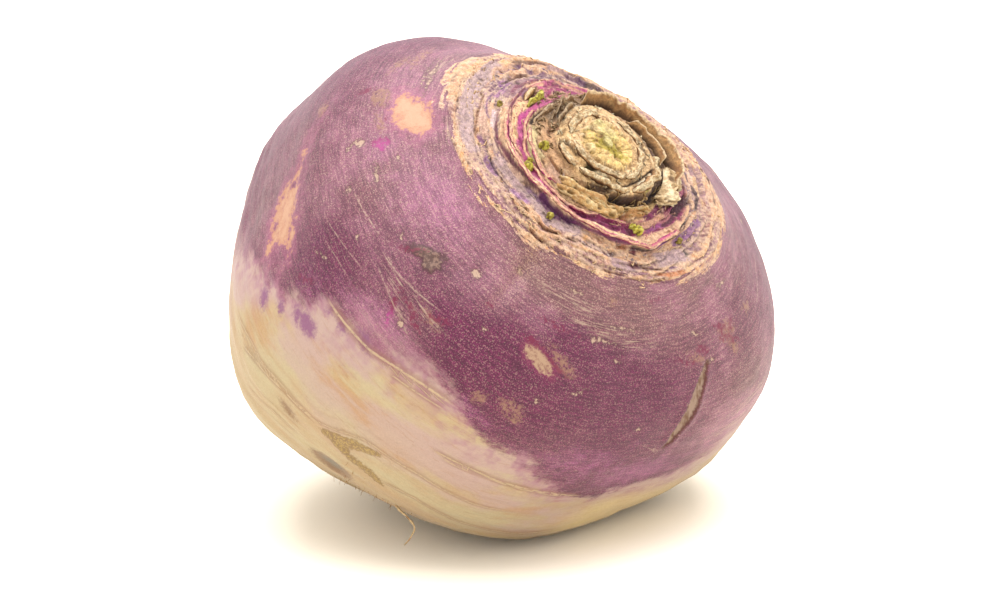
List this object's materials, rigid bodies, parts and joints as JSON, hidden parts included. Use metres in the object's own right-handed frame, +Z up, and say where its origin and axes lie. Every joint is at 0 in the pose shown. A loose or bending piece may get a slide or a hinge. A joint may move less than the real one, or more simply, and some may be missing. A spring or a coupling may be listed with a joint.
{
  "type": "rutabaga",
  "caption": "Whole rutabaga lying on its side, with a purple and cream skin, a ringed crown with dried leaf-stalk bases and green buds, and fine rootlets.",
  "frame": {"origin": "middle of the small flat spot that the root rests on", "axes": "+Z up, +X to the right and +Y to the back as the root lies; the crown leans 45 degrees from +Z, between +X and -Y"},
  "size_m": [0.1184, 0.1153, 0.1051],
  "materials": {
    "skin": "satin, mottled purple over cream",
    "cut_stalk": "matte, dry and granular",
    "dry_sheath": "matte, papery, fibrous",
    "golden_sheath": "matte, crumpled and spongy",
    "fleshy_base": "satin, cream edge over magenta",
    "bud": "satin, bright green",
    "rootlet": "matte, fibrous"
  },
  "bodies": {
    "root": {"root": "skin", "leaf_base_1": "cut_stalk", "leaf_base_2": "cut_stalk", "leaf_base_3": "dry_sheath", "leaf_base_4": "golden_sheath", "leaf_base_5": "dry_sheath", "leaf_base_6": "dry_sheath", "leaf_base_7": "fleshy_base", "leaf_base_8": "dry_sheath", "leaf_base_9": "fleshy_base", "leaf_base_10": "dry_sheath", "leaf_base_11": "dry_sheath", "bud_1": "bud", "bud_2": "bud", "bud_3": "bud", "bud_4": "bud", "bud_5": "bud", "bud_6": "bud", "bud_7": "bud", "rootlet_1": "rootlet", "rootlet_2": "rootlet", "rootlet_3": "rootlet"}
  },
  "joints": []
}
